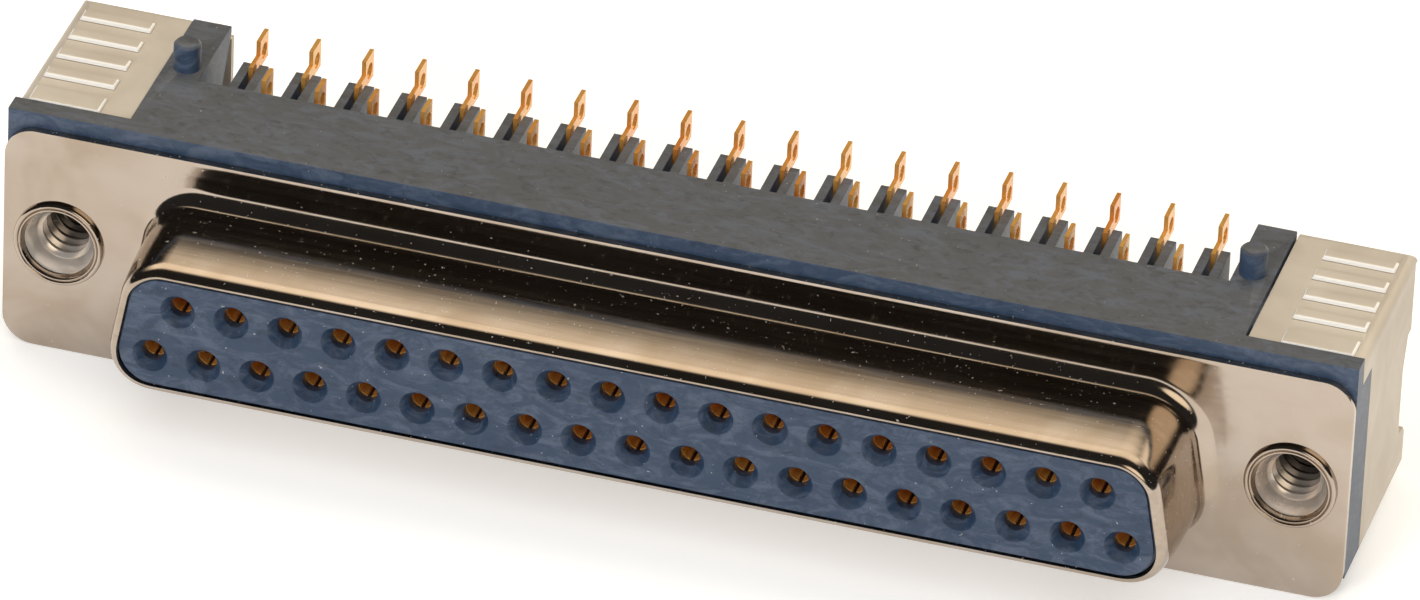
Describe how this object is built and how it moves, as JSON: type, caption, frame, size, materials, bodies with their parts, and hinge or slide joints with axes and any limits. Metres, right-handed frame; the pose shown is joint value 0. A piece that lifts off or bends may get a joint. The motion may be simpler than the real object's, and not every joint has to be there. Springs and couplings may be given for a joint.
{
  "type": "right-angle d-sub socket connector",
  "caption": "Right-angle board-mount D-sub socket with a metal collar, threaded flange inserts and flat soldering tails.",
  "frame": {"origin": "midway between the two flange screws, on the flange's front face", "axes": "+X along the flange, -Y out of the mating face, +Z towards the circuit board"},
  "size_m": [0.0694, 0.0182, 0.0149],
  "materials": {
    "nickel_shell": "bright nickel plate",
    "face_plastic": "satin moulded",
    "body_plastic": "gloss moulded",
    "tin_bracket": "satin tin plate",
    "nickel_insert": "bright nickel plate",
    "gold_contact": "gold flash"
  },
  "bodies": {
    "root": {"front_shell": "nickel_shell", "front_insulator": "face_plastic", "housing": "body_plastic", "bracket_left": "tin_bracket", "bracket_right": "tin_bracket", "insert_left": "nickel_insert", "insert_right": "nickel_insert", "contact_1": "gold_contact", "contact_2": "gold_contact", "contact_3": "gold_contact", "contact_4": "gold_contact", "contact_5": "gold_contact", "contact_6": "gold_contact", "contact_7": "gold_contact", "contact_8": "gold_contact", "contact_9": "gold_contact", "contact_10": "gold_contact", "contact_11": "gold_contact", "contact_12": "gold_contact", "contact_13": "gold_contact", "contact_14": "gold_contact", "contact_15": "gold_contact", "contact_16": "gold_contact", "contact_17": "gold_contact", "contact_18": "gold_contact", "contact_19": "gold_contact", "contact_20": "gold_contact", "contact_21": "gold_contact", "contact_22": "gold_contact", "contact_23": "gold_contact", "contact_24": "gold_contact", "contact_25": "gold_contact", "contact_26": "gold_contact", "contact_27": "gold_contact", "contact_28": "gold_contact", "contact_29": "gold_contact", "contact_30": "gold_contact", "contact_31": "gold_contact", "contact_32": "gold_contact", "contact_33": "gold_contact", "contact_34": "gold_contact", "contact_35": "gold_contact", "contact_36": "gold_contact", "contact_37": "gold_contact"}
  },
  "joints": []
}
